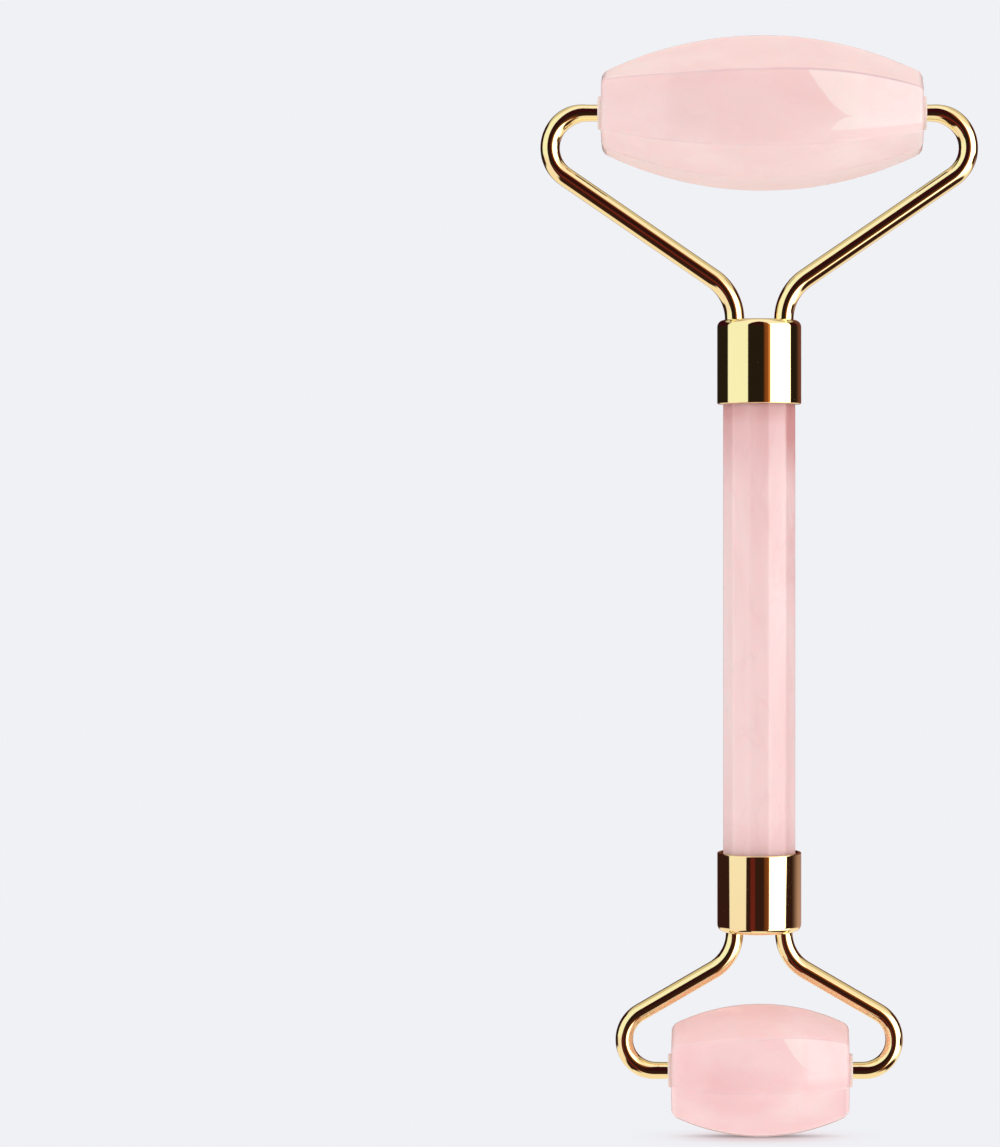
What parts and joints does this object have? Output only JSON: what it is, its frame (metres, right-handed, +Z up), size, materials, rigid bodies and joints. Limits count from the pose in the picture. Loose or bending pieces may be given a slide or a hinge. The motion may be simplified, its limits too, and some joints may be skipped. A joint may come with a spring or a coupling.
{
  "type": "face roller",
  "caption": "Hand-held face roller: a faceted rose quartz grip with gilt ferrules, and at each end a barrel stone that spins freely in a sprung wire fork.",
  "frame": {"origin": "on the grip's centre line, at half of the roller's overall height, which is 5.36 mm above the grip's middle", "axes": "+Z up the grip to the large stone, X along both stones' axles, -Y towards the front"},
  "size_m": [0.0578, 0.0193, 0.1456],
  "materials": {
    "rose_quartz": "polished, slightly translucent pink quartz with pale cloudy veils",
    "gilt": "bright polished gold plating",
    "cast_zinc": "plain die-cast zinc alloy, hidden inside the ferrule",
    "resin": "set two-part resin, hidden inside the ferrule",
    "bush_plastic": "moulded pale pink plastic, satin"
  },
  "bodies": {
    "handle": {"grip_stone": "rose_quartz", "upper_ferrule": "gilt", "upper_anchor_plug": "cast_zinc", "upper_adhesive": "resin", "large_fork_right_arm": "gilt", "large_fork_left_arm": "gilt", "lower_ferrule": "gilt", "lower_anchor_plug": "cast_zinc", "lower_adhesive": "resin", "small_fork_right_arm": "gilt", "small_fork_left_arm": "gilt"},
    "large_roller": {"large_roller_stone": "rose_quartz", "large_roller_left_bush": "bush_plastic", "large_roller_right_bush": "bush_plastic"},
    "small_roller": {"small_roller_stone": "rose_quartz", "small_roller_left_bush": "bush_plastic", "small_roller_right_bush": "bush_plastic"}
  },
  "joints": [
    {"name": "large_roller_spin", "type": "hinge", "parent": "handle", "child": "large_roller", "pos_m": [0, 0, 0.06264], "axis": [1, 0, 0], "continuous": true},
    {"name": "small_roller_spin", "type": "hinge", "parent": "handle", "child": "small_roller", "pos_m": [0, 0, -0.06376], "axis": [1, 0, 0], "continuous": true}
  ]
}
